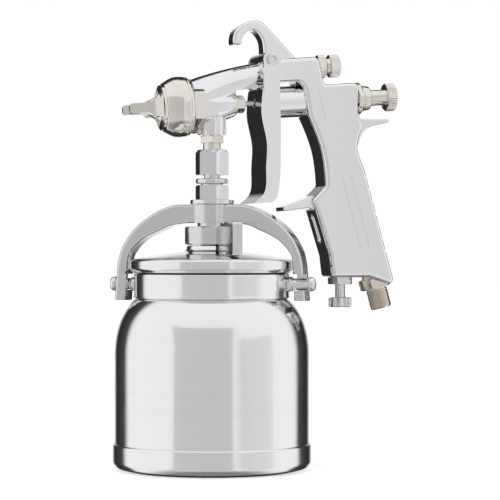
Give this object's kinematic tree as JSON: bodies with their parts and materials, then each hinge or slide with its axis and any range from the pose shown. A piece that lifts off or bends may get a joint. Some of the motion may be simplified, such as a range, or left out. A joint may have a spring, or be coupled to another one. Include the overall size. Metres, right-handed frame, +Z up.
{
  "type": "hvlp spray gun",
  "caption": "Suction-feed HVLP spray gun: chromed pistol body with hook and trigger over an aluminium paint pot held by a clamp yoke and cam lever.",
  "frame": {"origin": "centre of the pot's base, on the surface it stands on", "axes": "+Z up along the pot's axis; +X from the air cap back to the fluid knob, so the gun sprays towards -X; +Y to the left of someone holding the gun"},
  "size_m": [0.1683, 0.1144, 0.2582],
  "materials": {
    "chrome_body": "mirror-polished chrome plate",
    "chrome_trigger": "polished chrome plate",
    "nickel_head": "turned brass, satin nickel plate",
    "nickel_knob": "turned and knurled brass, nickel plate",
    "stainless": "turned stainless steel",
    "spring_steel": "bright spring steel",
    "plated_steel": "bright zinc or chrome plated steel",
    "cup_aluminium": "spun aluminium, fine brushed",
    "lid_aluminium": "cast aluminium, polished",
    "yoke_aluminium": "cast aluminium, polished",
    "seal": "moulded rubber",
    "ptfe": "white low-friction plastic"
  },
  "bodies": {
    "gun": {"gun_body": "chrome_body", "fluid_nozzle": "stainless", "air_distributor": "nickel_head", "needle_packing": "ptfe", "packing_gland": "nickel_head", "air_valve_seat": "nickel_head", "fluid_guide": "nickel_knob", "fan_guide": "nickel_knob", "air_guide": "plated_steel", "air_nipple": "nickel_head", "trigger_pivot_stud": "plated_steel", "trigger_pivot_screw": "plated_steel", "fluid_joint": "nickel_head", "joint_lock_nut": "nickel_head"},
    "retaining_ring": {"retaining_ring": "nickel_head"},
    "air_cap": {"air_cap": "nickel_head"},
    "trigger": {"trigger": "chrome_trigger"},
    "needle": {"fluid_needle": "stainless", "needle_collar": "stainless", "needle_spring": "spring_steel"},
    "air_valve": {"air_valve": "stainless", "air_valve_seal": "ptfe", "air_valve_spring": "spring_steel"},
    "fluid_knob_slide": {"fluid_knob_ring": "seal"},
    "fluid_knob": {"fluid_knob": "nickel_knob"},
    "fan_knob_slide": {"fan_knob_ring": "seal"},
    "fan_knob": {"fan_knob": "nickel_knob"},
    "air_knob_slide": {"air_knob_ring": "seal"},
    "air_knob": {"air_knob": "plated_steel"},
    "union_nut": {"union_nut": "plated_steel"},
    "pot_head": {"pot_spindle": "plated_steel", "spindle_nut": "plated_steel", "yoke_washer": "plated_steel", "lid": "lid_aluminium", "lid_gasket": "seal", "pickup_tube": "cup_aluminium"},
    "yoke": {"yoke": "yoke_aluminium"},
    "cam_lever": {"cam_lever": "yoke_aluminium"},
    "cup": {"cup_body": "cup_aluminium", "cup_base": "cup_aluminium", "cup_collar": "cup_aluminium", "clamp_studs": "plated_steel"}
  },
  "joints": [
    {"name": "trigger_pull", "type": "hinge", "parent": "gun", "child": "trigger", "pos_m": [0.03151, 0, 0.23515], "axis": [0, -1, 0], "range_deg": [0, 15], "stiffness_Nm_per_rad": 1.6, "springref_deg": -20.05},
    {"name": "needle_travel", "type": "slide", "parent": "gun", "child": "needle", "axis": [0.998, 0, 0.0635], "range_m": [0, 0.0065], "stiffness_N_per_m": 220, "springref_m": -0.006, "deforming": ["needle_spring"]},
    {"name": "air_valve_travel", "type": "slide", "parent": "gun", "child": "air_valve", "axis": [0.998, 0, 0.0635], "range_m": [0, 0.0065], "stiffness_N_per_m": 220, "springref_m": -0.006, "deforming": ["air_valve_spring"]},
    {"name": "air_cap_turn", "type": "hinge", "parent": "gun", "child": "air_cap", "pos_m": [-0.02994, 0, 0.20719], "axis": [0.998, 0, 0.0635], "range_deg": [-90, 90]},
    {"name": "retaining_ring_turn", "type": "hinge", "parent": "gun", "child": "retaining_ring", "pos_m": [-0.01996, 0, 0.20783], "axis": [0.998, 0, 0.0635], "range_deg": [0, 360]},
    {"name": "fluid_knob_travel", "type": "slide", "parent": "gun", "child": "fluid_knob_slide", "axis": [0.998, 0, 0.0635], "range_m": [0, 0.00301]},
    {"name": "fluid_knob_turn", "type": "hinge", "parent": "fluid_knob_slide", "child": "fluid_knob", "pos_m": [0.0998, 0, 0.21545], "axis": [-0.998, 0, -0.0635], "range_deg": [0, 1080]},
    {"name": "fan_knob_travel", "type": "slide", "parent": "gun", "child": "fan_knob_slide", "axis": [0.998, 0, 0.0635], "range_m": [0, 0.00201]},
    {"name": "fan_knob_turn", "type": "hinge", "parent": "fan_knob_slide", "child": "fan_knob", "pos_m": [0.06861, 0, 0.2332], "axis": [-0.998, 0, -0.0635], "range_deg": [0, 720]},
    {"name": "air_knob_travel", "type": "slide", "parent": "gun", "child": "air_knob_slide", "axis": [0, 0, -1], "range_m": [0, 0.00201]},
    {"name": "air_knob_turn", "type": "hinge", "parent": "air_knob_slide", "child": "air_knob", "pos_m": [0.0775, 0, 0.1], "axis": [0, 0, 1], "range_deg": [0, 720]},
    {"name": "union_nut_turn", "type": "hinge", "parent": "gun", "child": "union_nut", "pos_m": [0, 0, 0.176], "axis": [0, 0, 1], "range_deg": [0, 360]},
    {"name": "pot_swivel", "type": "hinge", "parent": "gun", "child": "pot_head", "pos_m": [0, 0, 0.17], "axis": [0, 0, 1], "range_deg": [-45, 45]},
    {"name": "yoke_drop", "type": "slide", "parent": "pot_head", "child": "yoke", "axis": [0, 0, -1], "range_m": [0, 0.00181]},
    {"name": "cam_lever_turn", "type": "hinge", "parent": "pot_head", "child": "cam_lever", "pos_m": [0, 0, 0.134], "axis": [0, 0, -1], "range_deg": [0, 75]},
    {"name": "cup_turn", "type": "hinge", "parent": "pot_head", "child": "cup", "pos_m": [0, 0, 0.05], "axis": [0, 0, 1], "range_deg": [-22, 0]}
  ],
  "couplings": [
    {"joint": "needle_travel", "follows": "trigger_pull", "m_per_rad": 0.024},
    {"joint": "air_valve_travel", "follows": "trigger_pull", "m_per_rad": 0.024},
    {"joint": "fluid_knob_travel", "follows": "fluid_knob_turn", "m_per_rad": 0.00015915},
    {"joint": "fan_knob_travel", "follows": "fan_knob_turn", "m_per_rad": 0.00015915},
    {"joint": "air_knob_travel", "follows": "air_knob_turn", "m_per_rad": 0.00015915},
    {"joint": "yoke_drop", "follows": "cam_lever_turn", "m_per_rad": 0.0013751}
  ]
}
